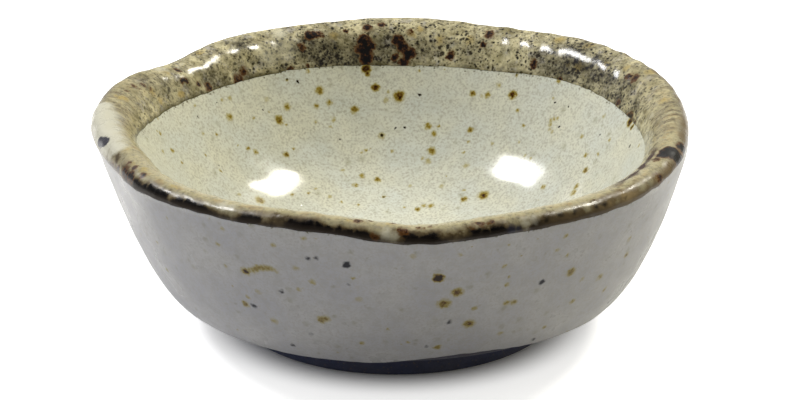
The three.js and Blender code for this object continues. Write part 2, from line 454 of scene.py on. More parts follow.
# %% Rows of the rim band
BAND_TURNS, BAND_ROWS, BAND_BACK_ROWS = 720, 84, 30
ROWS_TO_EDGES = 0.35  # how far the rows crowd towards the band's two edges
CRAWL_COUNT, CRAWL_SIZE = 60, 0.042
turn_fine = np.linspace(0, 2 * np.pi, BAND_TURNS, endpoint=False)[None, :]
crawl_waves = (waves.integers(16, 84, CRAWL_COUNT), waves.uniform(4, 12, CRAWL_COUNT),
               waves.uniform(0, 2 * np.pi, CRAWL_COUNT))
start, end = band_outside(turn_fine), band_inside(turn_fine)
even = np.linspace(0, 1, BAND_ROWS)[:, None]
eased = ROWS_TO_EDGES * (0.5 - 0.5 * np.cos(np.pi * even)) + (1 - ROWS_TO_EDGES) * even
face_s = start + (end - start) * eased
back_s = between(end, start, BAND_BACK_ROWS)[1:-1]
print("band width, mm", (end - start).min().round(2), "to", (end - start).max().round(2))

# %% Ash and iron rim band
BAND_THICKNESS = 0.6
BEAD, LAP = 0.7, 0.03  # width of the rounded edge, and how far it lies off the white
LAP_FADE = TUCK / 4


def band_lifts(distance):
    """Heights of the band's face and back off the clay. The face rises from the white in a rounded bead to
    its own thickness, and the crawl of the melting glaze adds short waves. The back lies on the thinning
    white, then on the clay."""
    inside = np.minimum(end - distance, distance - start)
    lumps = hand_lumps(distance, turn_fine)
    on_top = SEAT + GLAZE_THICKNESS + LAP
    face = on_top + (SEAT + BAND_THICKNESS - on_top) * rounded(inside / BEAD) + lumps
    crawl = CRAWL_SIZE * wave_sum(distance, turn_fine, crawl_waves)
    face = face + crawl * smooth_step(inside / (2 * BEAD))
    on_white = 1 - smooth_step((inside - TUCK) / LAP_FADE)
    back = SEAT + (white_top(inside, ROLL) + LAP / 2 + lumps - SEAT) * on_white
    return face, back


band_s = np.concatenate([face_s, back_s])
band_lift = np.concatenate([band_lifts(face_s)[0], band_lifts(back_s)[1]])
rim_band = turned_mesh("rim_ash_band", dish_points(band_s, turn_fine, band_lift), band_s)
carry(rim_band, "from_inside_edge", end - band_s)
carry(rim_band, "from_outside_edge", band_s - start)

# %% [markdown]
# ## The clay bowl and the foot ring
#
# Under the coats is dark, iron-bearing stoneware. It shows only where the glaze was wiped off: round the
# foot, on the underside and on the foot ring itself. The turning tool leaves fine grooves there. The ring
# is turned from the same clay and its sole is worn smooth, with rounded edges.

# %% Clay bowl
GROOVE_DEPTH, GROOVE_PITCH, UNDER_PITCH = 0.05, 1.3, 2.6
GROOVES_TO, GROOVES_FADE, UNDER_CALM = 13.0, 2.0, 4.0
BARE_TO = 16.0
UNDER_ROWS, BARE_ROWS, COVERED_ROWS = 30, 60, 70
bowl_s = np.concatenate([between(0.0, BARE_TO, BARE_ROWS), between(BARE_TO, PATH_END, COVERED_ROWS)[1:]])
bowl_s = bowl_s + 0 * turn
groove = GROOVE_DEPTH * (np.cos(2 * np.pi * bowl_s / GROOVE_PITCH + turn) - 1)
groove = groove * (1 - smooth_step((bowl_s - GROOVES_TO) / GROOVES_FADE)) * smooth_step(bowl_s)
bowl = dish_points(bowl_s, turn, groove)
under_r = np.linspace(0, FOOT_RADIUS, UNDER_ROWS, endpoint=False)[:, None] + 0 * turn
under_groove = GROOVE_DEPTH * (1 + np.cos(2 * np.pi * under_r / UNDER_PITCH + turn))
underside = about_axis(under_r, foot_top + under_groove * smooth_step(under_r / UNDER_CALM), turn)
clay_bowl = turned_mesh("clay_bowl_body", np.concatenate([underside, bowl]),
                        np.concatenate([under_r - FOOT_RADIUS, bowl_s]), poles=True)

# %% Foot ring
FOOT_WIDTH, FOOT_TAPER, FOOT_EDGE_ROUND = 3.8, 0.5, 0.6
SIDE_ROWS, ROUND_ROWS, SOLE_ROWS = 14, 10, 10
WOBBLE_SIZE, WOBBLES = 0.06, ((3, 0.4), (7, 2.0), (16, 4.1))  # millimetres; turns and phase of each wave
inner_top, outer_top = FOOT_RADIUS - FOOT_WIDTH, FOOT_RADIUS
inner_sole, outer_sole = inner_top + FOOT_TAPER, outer_top - FOOT_TAPER
quarter = np.linspace(0, np.pi / 2, ROUND_ROWS)
down = np.linspace(FOOT_HEIGHT, FOOT_EDGE_ROUND, SIDE_ROWS)[:-1]
share = (FOOT_HEIGHT - down) / (FOOT_HEIGHT - FOOT_EDGE_ROUND)
inner_side = np.stack([inner_top + FOOT_TAPER * share, down], axis=-1)
inner_round = np.stack([inner_sole + FOOT_EDGE_ROUND * (1 - np.cos(quarter)),
                        FOOT_EDGE_ROUND * (1 - np.sin(quarter))], axis=-1)
sole_r = np.linspace(inner_sole + FOOT_EDGE_ROUND, outer_sole - FOOT_EDGE_ROUND, SOLE_ROWS)[1:-1]
sole = np.stack([sole_r, 0 * sole_r], axis=-1)
mirror = np.array([inner_top + outer_top, 0.0])
outer_round, outer_side = (mirror + half[::-1] * [-1, 1] for half in (inner_round, inner_side))
top_r = np.linspace(outer_top, inner_top, SOLE_ROWS)[1:-1]
foot_line = np.concatenate([inner_side, inner_round, sole, outer_round, outer_side,
                            np.stack([top_r, FOOT_HEIGHT + 0 * top_r], axis=-1)])
foot_z = foot_line[:, 1:] + 0 * turn
wobble = WOBBLE_SIZE * sum(np.cos(n * turn + phase) for n, phase in WOBBLES)
foot_r = foot_line[:, :1] + wobble * np.sin(np.pi * foot_z / FOOT_HEIGHT)
foot_ring = turned_mesh("turned_foot_ring", about_axis(foot_r, foot_z, turn), foot_z - FOOT_HEIGHT)

# %% [markdown]
# ## How the materials are built
#
# Fired glaze is coloured glass, so each coat is one glossy shader whose colour, roughness and bump come
# from patterns. One function adds any node with its settings and links. Patterns are measured in
# millimetres: Object coordinates times a thousand. Colours are written as on a screen and turned to the
# linear values that the renderer needs. A finish is then painted: a ground tone, and over it one tone after
# another, each where some pattern passes from one level to another.


# %% Node and colour helpers
def linear(hex_colour):
    """Screen colour to linear: each channel is divided by 12.92 when small, or else raised to 2.4."""
    channels = np.array([int(hex_colour[k:k + 2], 16) for k in (1, 3, 5)]) / 255
    low, high = channels / 12.92, ((channels + 0.055) / 1.055) ** 2.4
    return (*np.where(channels <= 0.04045, low, high).tolist(), 1.0)


def add(tree, kind, sockets=None, output=0, **settings):
    """Adds one node and gives back one of its outputs. Settings are its own properties; a socket gets a
    value, or a link from an output."""
    made = tree.nodes.new("ShaderNode" + kind)
    for name, value in settings.items():
        setattr(made, name, value)
    for name, value in (sockets or {}).items():
        if isinstance(value, bpy.types.NodeSocket):
            tree.links.new(value, made.inputs[name])
        else:
            made.inputs[name].default_value = value
    return made.outputs[output] if len(made.outputs) else None


def new_material(name):
    """An empty material with its node tree, and Object coordinates in millimetres."""
    material = bpy.data.materials.new(name)
    material.use_nodes = True
    tree = material.node_tree
    tree.nodes.clear()
    place = add(tree, "TexCoord", output="Object")
    return material, tree, add(tree, "VectorMath", {0: place, "Scale": 1 / MM}, operation="SCALE")


print("mid grey on a screen is", round(linear("#808080")[0], 3), "of white as light")

# %% Painting, clouds and limits
MIX_A, MIX_B, MIX_RESULT = 6, 7, 2  # a Mix node's colour sockets
WHOLE = 0.0, 1.0, 1.0


def painted(tree, colour, *tones):
    """Paints tones over a colour, one after another. Each comes with a pattern, the levels of it where the
    tone starts and is full, and its greatest share; those that are left out are 0, 1 and 1."""
    for tone, pattern, *levels in tones:
        start, full, most = *levels, *WHOLE[len(levels):]
        share = add(tree, "MapRange", {"Value": pattern, "From Min": start, "From Max": full,
                                       "To Max": most})
        colour = add(tree, "Mix", {0: share, MIX_A: colour, MIX_B: linear(tone)}, MIX_RESULT,
                     data_type="RGBA")
    return colour


def clouded(tree, where, size, detail, low, high, least=0.0, most=1.0):
    """Clouds of a size in millimetres: a noise, stretched so that its low level gives the least and its
    high level the most."""
    noise = add(tree, "TexNoise", {"Vector": where, "Scale": 1 / size, "Detail": detail})
    return add(tree, "MapRange", {"Value": noise, "From Min": low, "From Max": high, "To Min": least,
                                  "To Max": most})


def within(tree, share, *limits):
    """Keeps a share within limits. A limit is a pattern with its start and full levels: between them a
    factor goes from 0 to 1, or from one given value to another, and the share is multiplied by it."""
    for pattern, start, full, *ends in limits:
        least, most = ends or (0.0, 1.0)
        factor = add(tree, "MapRange", {"Value": pattern, "From Min": start, "From Max": full,
                                        "To Min": least, "To Max": most})
        share = add(tree, "Math", {0: share, 1: factor}, operation="MULTIPLY")
    return share


# %% [markdown]
# ## Spots
#
# Glaze chemistry draws in spots: iron specks, pepper, blots and drips. Two kinds are needed. Spots that an
# eye remembers stand at given places, and small ones are scattered, one to a cell of a cell pattern with a
# size by chance. Round spots look printed, so the places are first shaken by a noise, and that makes every
# outline ragged in its own way.


# %% Spot patterns
def shaken(tree, where, grain, reach):
    """Places moved by a noise of the grain's size: its colour, less a half, times twice the reach."""
    noise = add(tree, "TexNoise", {"Vector": where, "Scale": 1 / grain, "Detail": 3.0}, "Color")
    centred = add(tree, "VectorMath", {0: noise, 1: (0.5, 0.5, 0.5)}, operation="SUBTRACT")
    return add(tree, "VectorMath", {0: centred, 1: (2 * reach,) * 3, 2: where}, operation="MULTIPLY_ADD")


def marks(tree, where, placed):
    """Soft spots at given places: each falls smoothly from its depth at the centre to nothing at its
    radius, and where they overlap the deeper one counts."""
    deepest = 0.0
    for centre, radius, depth in zip(*placed):
        gap = add(tree, "VectorMath", {0: where, 1: centre.tolist()}, "Value", operation="DISTANCE")
        spot = add(tree, "MapRange", {"Value": gap, "From Max": radius, "To Min": depth, "To Max": 0.0},
                   interpolation_type="SMOOTHSTEP")
        deepest = add(tree, "Math", {0: spot, 1: deepest}, operation="MAXIMUM")
    return deepest


def scatter(tree, where, spacing, least, reach, crowd=0.0):
    """Scattered spots, 1 at the centre and 0 at the edge. A cell's chance, plus the crowding, sets its
    spot's radius: none up to the least chance, and the reach, a share of the spacing, at full chance."""
    cells = add(tree, "TexVoronoi", {"Vector": where, "Scale": 1 / spacing}, "Distance")
    chance = add(tree, "SeparateColor", {0: cells.node.outputs["Color"]})
    chance = add(tree, "Math", {0: chance, 1: crowd}, operation="ADD")
    radius = add(tree, "MapRange", {"Value": chance, "From Min": least, "To Min": 0.001, "To Max": reach})
    part = add(tree, "Math", {0: cells, 1: radius}, operation="DIVIDE")
    return add(tree, "MapRange", {"Value": part, "To Min": 1.0, "To Max": 0.0},
               interpolation_type="SMOOTHSTEP")


# %% Marks placed by pixel
MARK_ROWS, MARK_TURNS = 300, 1200
mark_turn = np.linspace(0, 2 * np.pi, MARK_TURNS, endpoint=False)[None, :]


def place_marks(table, from_s, to_s, lift):
    """Centres in millimetres, radii and depths of a table's marks: each is the point of the coat, on a fine
    grid between two distances along the clay, that the camera sees at the mark's pixel."""
    points = dish_points(between(from_s, to_s, MARK_ROWS) + 0 * mark_turn, mark_turn, lift)
    values = np.array(table, float)
    return points.reshape(-1, 3)[seen_at(points, values[:, :2])], values[:, 2], values[:, 3]


print("grid for marks, mm round the rim", round(2 * np.pi * RIM_RADIUS / MARK_TURNS, 2))

# %% [markdown]
# ## White glaze, inside and outside
#
# A feldspar glaze over stoneware is a clear glass full of fine crystals: creamy, softly clouded, faintly
# grainy. Grains of iron in the clay melt into it and stain it, with a black or brown heart in an ochre halo.
# The larger stains are what an eye remembers of a dish, so they sit where the picture shows them: each is
# given by the pixel it falls on, its radius and how dark it is. Inside, the glaze is glossy and warm.
# Outside it lies thinner and more satin, and one grain has run into a short streak. Its tones are greyer
# and cooler than the inside's: partly the thin glaze, partly painted cool shade, for the outside faces
# down and away from the lamps. One function makes both, because they are one glaze.

# %% Iron specks inside
INNER_SPECKS = [  # pixel across, pixel down, radius in millimetres, depth
    (229, 117, 1.4, 0.62), (279, 120, 1.5, 0.75), (287, 107, 1.3, 0.6), (254, 118, 0.6, 0.5),
    (248, 148, 0.8, 0.72), (256, 152, 1, 0.6), (286, 154, 1, 0.75), (294, 149, 0.6, 0.6),
    (217, 134, 0.6, 0.65), (203, 134, 0.7, 0.45), (160, 133, 0.8, 0.55), (172, 150, 1, 0.7),
    (163, 152, 1, 0.42), (182, 163, 0.7, 0.6), (206, 155, 0.6, 0.55), (221, 171, 0.7, 0.6),
    (195, 106, 0.6, 0.5), (222, 100, 0.7, 0.5), (230, 98, 1.1, 0.42), (266, 99, 1, 0.36),
    (319, 90, 1.4, 0.72), (329, 102, 1.1, 0.62), (316, 106, 1, 0.55), (354, 109, 1.3, 0.75),
    (376, 87, 1.3, 0.88), (399, 96, 1.8, 0.85), (386, 100, 1, 0.45), (388, 92, 0.6, 0.55),
    (472, 94, 1, 0.8), (488, 95, 1, 0.72), (482, 96, 0.7, 0.4), (513, 95, 1.4, 0.95), (499, 85, 1, 0.4),
    (518, 111, 0.7, 0.52), (524, 126, 0.7, 0.68), (333, 119, 1, 0.5), (330, 127, 0.6, 0.5),
    (316, 122, 0.8, 0.42), (382, 136, 1.3, 0.5), (366, 150, 0.7, 0.5), (392, 151, 0.7, 0.5),
    (428, 126, 1.2, 0.66), (438, 126, 0.6, 0.62), (434, 134, 1, 0.66), (432, 151, 1.4, 0.72),
    (428, 161, 1.1, 0.48), (422, 158, 0.8, 0.45), (470, 130, 1, 0.8), (468, 142, 0.6, 0.6),
    (492, 143, 0.7, 0.45), (466, 166, 1.2, 0.4), (342, 170, 0.7, 0.52), (362, 176, 1, 0.55),
    (378, 180, 1, 0.72), (355, 185, 1, 0.55), (410, 186, 0.7, 0.42), (441, 186, 1, 0.4),
    (384, 197, 0.6, 0.78), (464, 199, 1.2, 0.74), (483, 195, 1.7, 0.9), (418, 209, 1, 0.74),
    (405, 207, 0.7, 0.55), (431, 206, 1.1, 0.6), (424, 206, 1, 0.5), (359, 205, 0.7, 0.5),
    (341, 202, 0.7, 0.5), (330, 197, 0.9, 0.45), (308, 193, 0.6, 0.6), (292, 195, 0.7, 0.6),
    (260, 200, 1.6, 0.72), (239, 194, 0.9, 0.42), (586, 155, 0.9, 0.66), (598, 154, 0.8, 0.45),
    (586, 170, 1.1, 0.8), (576, 187, 1.2, 0.58), (574, 192, 1.2, 0.6), (543, 187, 1, 0.62),
    (582, 136, 0.8, 0.5), (610, 140, 0.6, 0.5), (639, 146, 0.9, 0.42), (604, 116, 1, 0.38),
    (530, 158, 0.6, 0.5), (524, 156, 0.7, 0.4), (519, 142, 0.6, 0.5), (308, 71, 0.8, 0.55),
    (419, 71, 0.5, 0.5), (517, 75, 0.7, 0.55), (559, 81, 0.9, 0.7), (366, 69, 1.5, 1.1), (368, 73, 1, 0.9),
    (630, 122, 1.5, 1.1), (632, 127, 0.9, 0.9), (552, 132, 0.8, 0.4), (550, 129, 0.8, 0.45),
    (550, 125, 0.8, 0.5), (551, 121, 0.8, 0.5), (554, 119, 0.8, 0.5), (558, 118, 0.7, 0.45),
]
INNER_BLACK_DOTS = [
    (198, 117, 0.4, 1), (217, 102, 0.3, 1), (263, 110, 0.3, 1), (287, 79, 0.4, 1), (298, 82, 0.5, 1),
    (420, 95, 0.5, 1), (382, 136, 0.6, 1), (395, 128, 0.5, 1), (404, 127, 0.4, 1), (340, 139, 0.4, 1),
    (555, 103, 0.4, 1), (568, 107, 0.4, 1), (600, 135, 0.4, 1), (630, 146, 0.6, 1), (559, 127, 0.4, 1),
    (219, 165, 0.4, 1), (384, 197, 0.4, 1),
]
AXIS_GAP = 0.2
white_lift = SEAT + GLAZE_THICKNESS
inner_area = band_inside(mark_turn), PATH_END - AXIS_GAP, white_lift
inner_iron = [place_marks(table, *inner_area) for table in (INNER_SPECKS, INNER_BLACK_DOTS)]
print("specks inside", len(INNER_SPECKS), "black dots", len(INNER_BLACK_DOTS))

# %% Iron specks outside
OUTER_SPECKS = [
    (438, 278, 1.5, 1.4), (457, 292, 1.6, 0.86), (444, 304, 1.8, 0.8), (469, 324, 1.7, 0.78),
    (474, 308, 0.9, 0.6), (321, 320, 1.4, 0.78), (325, 319, 1.3, 0.72), (246, 271, 1.4, 0.85),
    (246, 304, 1.3, 0.72), (248, 297, 0.8, 0.5), (504, 266, 0.8, 0.55), (506, 285, 0.8, 0.6),
    (507, 303, 1.1, 0.6), (513, 302, 1.2, 0.62), (571, 272, 1.5, 0.72), (582, 279, 1, 0.42),
    (600, 277, 1.2, 0.62), (604, 290, 1, 0.6), (626, 255, 1.1, 0.75), (630, 239, 1, 0.5),
    (572, 301, 1.1, 0.66), (544, 327, 0.9, 0.6), (437, 347, 1.1, 0.66), (557, 250, 0.8, 0.48),
    (567, 255, 0.8, 0.5), (566, 236, 0.8, 0.52), (361, 343, 0.9, 0.55), (312, 282, 1, 0.55),
    (296, 268, 1.1, 0.42), (218, 244, 0.8, 0.52), (274, 245, 0.8, 0.5), (303, 239, 0.9, 0.45),
    (167, 270, 0.8, 0.52), (226, 266, 0.8, 0.42), (274, 321, 1.3, 0.48), (413, 256, 1, 0.4),
    (460, 255, 0.8, 0.42), (500, 333, 1.1, 0.42), (298, 290, 0.8, 0.42), (258, 292, 1.1, 0.38),
    (222, 229, 0.8, 0.42), (409, 342, 0.8, 0.45), (359, 299, 1.2, 0.36), (246, 271, 1.2, 1),
    (250, 270, 1.2, 0.55), (253, 270, 1.2, 0.6), (256, 269, 1.2, 0.62), (259, 268, 1.2, 0.64),
    (262, 268, 1.2, 0.64), (265, 268, 1.2, 0.62), (268, 268, 1.1, 0.58), (271, 269, 1, 0.52),
    (274, 270, 0.9, 0.46), (276, 272, 0.8, 0.4),
]
OUTER_BLACK_DOTS = [
    (347, 265, 1.3, 0.95), (308, 258, 1, 0.7), (317, 258, 0.9, 0.72), (282, 292, 1, 0.72),
    (542, 282, 1.1, 0.85), (449, 322, 1, 0.66), (254, 306, 1.1, 0.75), (293, 345, 0.9, 0.7),
    (533, 339, 0.9, 0.7), (427, 346, 0.8, 0.6), (349, 284, 0.8, 0.5), (311, 334, 1.1, 0.45),
]
outer_area = glaze_stop(mark_turn), band_outside(mark_turn), white_lift
outer_iron = [place_marks(table, *outer_area) for table in (OUTER_SPECKS, OUTER_BLACK_DOTS)]
print("specks outside", len(OUTER_SPECKS), "black dots", len(OUTER_BLACK_DOTS))


# %% Body and face of the white glaze
SWELL_SIZE = 3.2
PINHOLE_SPACING, PINHOLE_REACH, PINHOLE_DEPTH = 5.0, 0.08, 0.06


def glaze_body(tree, mm, tones):
    """Colour of the clean glaze, and its clouds: a ground tone, with clouds, curds and fine grains of three
    more tones painted over it."""
    cloud = clouded(tree, mm, size=7.0, detail=4.0, low=0.35, high=0.65)
    curd = clouded(tree, mm, size=1.5, detail=3.0, low=0.45, high=0.70, most=0.4)
    grain = clouded(tree, mm, size=0.4, detail=2.0, low=0.46, high=0.70, most=0.85)
    return painted(tree, linear(tones[0]), *zip(tones[1:], (cloud, curd, grain))), cloud


def glaze_face(tree, mm, ripple):
    """Bump of the glaze's face: a swell a few millimetres wide, with pinholes sunk into it."""
    swell = add(tree, "TexNoise", {"Vector": mm, "Scale": 1 / SWELL_SIZE, "Detail": 2.0})
    swell = add(tree, "Math", {0: swell, 1: ripple}, operation="MULTIPLY")
    pinholes = scatter(tree, mm, PINHOLE_SPACING, least=0.4, reach=PINHOLE_REACH)
    height = add(tree, "Math", {0: pinholes, 1: -PINHOLE_DEPTH, 2: swell}, operation="MULTIPLY_ADD")
    return add(tree, "Bump", {"Height": height, "Distance": MM, "Strength": 1.0})


# %% Iron in the white glaze
SMALL_DEPTH, LARGE_DEPTH = 0.5, 0.85
IRON_GRAIN = 0.45


def iron_depth(tree, mm, ragged, specks, unseen):
    """How dark iron has stained the glaze: the placed specks, small paler ones everywhere, and large ones
    by chance on the side that the picture doesn't show, all made uneven by a fine noise."""
    sight, seen_to, unseen_from = unseen
    view = add(tree, "VectorMath", {0: mm, 1: sight}, "Value", operation="DOT_PRODUCT")
    small = scatter(tree, ragged, spacing=2.6, least=0.40, reach=0.26)
    small = add(tree, "Math", {0: small, 1: SMALL_DEPTH}, operation="MULTIPLY")
    large = scatter(tree, ragged, spacing=4.0, least=0.15, reach=0.30)
    large = within(tree, large, (view, seen_to, unseen_from, 0.0, LARGE_DEPTH))
    depth = marks(tree, ragged, specks)
    for spots in (small, large):
        depth = add(tree, "Math", {0: depth, 1: spots}, operation="MAXIMUM")
    grains = add(tree, "TexNoise", {"Vector": mm, "Scale": 1 / IRON_GRAIN, "Detail": 2.0})
    return within(tree, depth, (grains, 0.3, 0.7, 0.7, 1.15))


# %% White glaze
OCHRE, BROWN, BLACK, BLUE_BLACK = "#a5953f", "#5f3d08", "#1f0f04", "#26262e"
FRECKLE, SPATTERED_ASH = "#7f7947", "#5f5734"
SPECK_GRAIN, SPECK_REACH = 0.75, 0.45
FRECKLE_SPACING, FRECKLE_SHARE = 2.5, 0.4
GLAZE_IOR = 1.55


def white_glaze(piece, name, tones, iron, dot_tone, unseen, ripple, gloss, spatter):
    """White glaze with its iron: faint freckles, ochre stains with brown and black hearts, black dots, and
    ash spattered from the band as far as the spatter reaches. Iron takes less sheen than clean glaze."""
    glaze, tree, mm = new_material(name)
    specks, dots = iron
    colour, cloud = glaze_body(tree, mm, tones)
    ragged = shaken(tree, mm, SPECK_GRAIN, SPECK_REACH)
    freckles = scatter(tree, ragged, FRECKLE_SPACING, least=0.1, reach=0.42)
    depth = iron_depth(tree, mm, ragged, specks, unseen)
    dot = within(tree, 1.0, (marks(tree, ragged, dots), 0.25, 0.7))
    from_band = add(tree, "Attribute", output="Fac", attribute_name="from_band")
    crowd = add(tree, "MapRange", {"Value": from_band, "From Max": spatter, "To Min": 0.3, "To Max": -0.8})
    ash = scatter(tree, ragged, spacing=0.6, least=0.3, reach=0.7, crowd=crowd)
    colour = painted(tree, colour, (FRECKLE, freckles, 0.0, 1.0, FRECKLE_SHARE),
                     (OCHRE, depth, 0.10, 0.50), (BROWN, depth, 0.40, 0.74),
                     (BLACK, depth, 0.66, 0.94), (dot_tone, dot), (SPATTERED_ASH, ash))
    rough = add(tree, "MapRange", {"Value": cloud, "To Min": gloss[0], "To Max": gloss[1]})
    stained = add(tree, "Math", {0: depth, 1: dot}, operation="MAXIMUM")
    sheen = add(tree, "MapRange", {"Value": stained, "From Min": 0.4, "From Max": 0.9, "To Min": 0.5,
                                   "To Max": 0.2})
    bump = glaze_face(tree, mm, ripple)
    shader = add(tree, "BsdfPrincipled", {"Base Color": colour, "Roughness": rough, "IOR": GLAZE_IOR,
                                          "Specular IOR Level": sheen, "Normal": bump})
    add(tree, "OutputMaterial", {"Surface": shader})
    piece.data.materials.append(glaze)
    print(name, "nodes", len(tree.nodes))


# The inside gives the eye a creamy, wet-looking white with sharp window lights
white_glaze(inner_glaze, "white_feldspar_glaze_glossy", ("#dcdbc7", "#d4d7cc", "#c6c6b5", "#b4b09e"),
            inner_iron, BLACK, unseen=((0, 1, 1.37), 27, 22), ripple=0.02, gloss=(0.13, 0.19), spatter=1.6)
# The outside gives the eye a greyer, cooler white with a soft, broad sheen; its tones carry painted shade
white_glaze(outer_glaze, "white_feldspar_glaze_satin", ("#cac9c6", "#bfbfc2", "#a9a8a3", "#b9b6b0"),
            outer_iron, BLUE_BLACK, unseen=((0, 1, 0), 2, 10), ripple=0.012, gloss=(0.26, 0.36), spatter=0.4)

# %% [markdown]
# ## Ash and iron glaze of the rim
#
# Wood ash makes a runny glaze that never melts evenly. Behind, it is a curdled cream and grey, full of black
# pepper, with smoky places and brown-black blots where iron gathered and ran. On the side and front lips it
# breaks to tan, with brown streaks across the lip, and where it stops on the outside the iron draws a broken
# line, near-black on the left and brown on the right. What an eye remembers is placed by pixel again. The
# streaks and the line follow the unrolled place, so that they keep to the lip.

# %% Blots and spots of the band
BAND_BLOTS = [  # pixel across, pixel down, radius in millimetres, depth
    (364, 42, 2.6, 0.85), (365, 50, 2.4, 0.95), (366, 58, 2.2, 0.95), (366, 66, 1.6, 0.8),
    (367, 72, 1.1, 0.7), (369, 55, 1.6, 0.9), (398, 40, 2, 0.8), (402, 47, 2.2, 0.85), (408, 54, 2.2, 0.9),
    (405, 62, 1.7, 0.75), (410, 33, 1.2, 0.6), (309, 36, 1.7, 0.85), (315, 35, 1.4, 0.75),
    (320, 34, 1.2, 0.6), (450, 56, 1.6, 0.75), (483, 45, 1.1, 0.7), (490, 35, 2, 0.7),
    (534, 64, 1.4, 0.72), (559, 80, 1.2, 0.68), (628, 119, 2.2, 0.9), (631, 126, 1.3, 0.75),
    (629, 77, 1.8, 0.7), (635, 78, 1.7, 0.68), (618, 102, 1.2, 0.6), (382, 24, 1.3, 0.7),
    (367, 28, 1.6, 0.6), (346, 31, 0.9, 0.65), (177, 70, 1.2, 0.75), (184, 80, 1.4, 0.8),
    (199, 83, 1.2, 0.7), (209, 87, 1.6, 0.7), (239, 80, 2, 0.62), (244, 72, 2, 0.5), (290, 71, 1.2, 0.7),
    (308, 71, 1, 0.5), (672, 152, 3.2, 1.2), (678, 158, 3.4, 1.2), (664, 155, 2.4, 1),
    (655, 160, 1.8, 0.55), (134, 86, 1.3, 0.45), (143, 85, 1.4, 0.5), (139, 89, 1, 0.4),
    (150, 88, 1.2, 0.45), (128, 91, 1.1, 0.4), (375, 236, 1.4, 0.45), (684, 150, 2.6, 1.2),
    (659, 177, 1.6, 0.6), (135, 168, 1.3, 0.6), (129, 163, 1.1, 0.55), (143, 175, 1.2, 0.65),
    (395, 57, 1.3, 0.75), (372, 46, 1.6, 0.85), (359, 48, 1.5, 0.65), (303, 47, 1.3, 0.6),
    (358, 220, 1.5, 0.6), (370, 221, 1.2, 0.42), (381, 222, 1.3, 0.42), (392, 224, 1.2, 0.42),
    (421, 228, 1.3, 0.42), (430, 227, 1.2, 0.42), (472, 226, 1.3, 0.45), (480, 224, 1.5, 0.55),
    (490, 222, 1.3, 0.5), (404, 232, 1.8, 0.6), (131, 177, 1.8, 0.9), (118, 170, 1.6, 0.7),
    (124, 172, 1.7, 0.85), (113, 166, 1.3, 0.55), (127, 168, 1.2, 0.5),
]
BLUE_SPOTS = [
    (99.5, 141.5, 1.3, 1.0), (101.5, 142, 1.5, 1.0), (103.5, 142, 1.5, 1.0), (106, 142.5, 1.3, 1.0),
    (512, 230, 1.6, 0.5), (518, 229, 1.3, 0.4),
]
BAND_OCHRE = [
    (181, 94, 1.6, 0.9), (125, 99, 1.6, 0.9), (118, 97, 1.6, 0.8), (165, 72, 1.6, 0.7),
    (200, 52, 1.6, 0.7), (589, 46, 2, 0.7), (560, 40, 2, 0.7), (651, 72, 2, 0.7), (131, 165, 1.6, 0.7),
    (144, 170, 2.2, 0.6), (176, 186, 2, 0.6), (420, 28, 1.4, 0.7), (411, 34, 1.6, 0.7),
    (398, 55, 1.8, 0.6), (663, 100, 2.4, 0.6), (578, 67, 1.8, 0.9), (568, 64, 1.3, 0.7),
    (605, 66, 1.8, 0.8), (627, 67, 1.8, 0.7), (333, 36, 1.8, 0.7), (440, 40, 2.2, 0.6), (470, 40, 2, 0.6),
    (152, 90, 2, 0.7), (160, 100, 2, 0.6), (350, 220, 1.6, 0.55), (388, 224, 1.6, 0.55),
    (172, 186, 1.6, 0.6),
]
print("blots", len(BAND_BLOTS), "blue spots", len(BLUE_SPOTS), "ochre places", len(BAND_OCHRE))

# %% Smoky and pale places of the band, and a painted highlight on the front lip
BAND_SMOKE = [
    (330, 57, 8, 0.85), (312, 50, 6, 0.75), (350, 60, 7, 0.85), (575, 58, 7, 0.85), (560, 72, 6, 0.75),
    (598, 72, 6, 0.8), (242, 76, 3.4, 0.55), (215, 80, 6, 0.55), (385, 50, 7, 0.65), (420, 52, 5, 0.45),
    (620, 95, 6.5, 0.6), (148, 84, 5, 0.4), (168, 88, 5, 0.5), (545, 60, 5, 0.55), (240, 45, 3, 0.7),
    (190, 92, 5, 0.45), (470, 56, 5, 0.4), (340, 40, 4, 0.4), (304, 40, 2.4, 0.8), (304, 52, 2.6, 0.9),
    (569, 50, 2.6, 0.9), (566, 58, 3, 0.9), (573, 70, 3, 0.9), (590, 66, 3, 0.9), (596, 59, 2.8, 0.85),
    (243, 42, 2.6, 0.7), (250, 79, 2.6, 0.6), (320, 61, 4, 0.85), (338, 63, 4, 0.85), (585, 52, 4, 0.7),
    (610, 82, 5, 0.7), (548, 68, 4, 0.6), (635, 105, 4, 0.55), (330, 46, 4, 0.7),
]
# Pale places are white glaze that shows through, but the two at (222, 204) and (232, 206) on the front-left
# crest are a painted highlight of the lip
BAND_PALE_AND_HIGHLIGHT = [
    (101, 107, 3.4, 1), (103, 113, 4.6, 1), (103, 120, 4.8, 1), (106, 127, 4.8, 1), (105, 133, 4.6, 1),
    (110, 140, 4.2, 1), (117, 146, 3, 0.9), (280, 33, 3, 0.41), (162, 69, 2.4, 0.41),
    (645, 140, 2.6, 0.41), (387, 233, 2, 0.41), (394, 236, 1.7, 0.34), (526, 222, 1.8, 0.38),
    (534, 220, 1.6, 0.34), (222, 204, 2, 0.41), (232, 206, 1.8, 0.38), (268, 56, 4.6, 0.3),
    (285, 50, 4.6, 0.3),
]
print("smoky places", len(BAND_SMOKE), "pale places", len(BAND_PALE_AND_HIGHLIGHT))

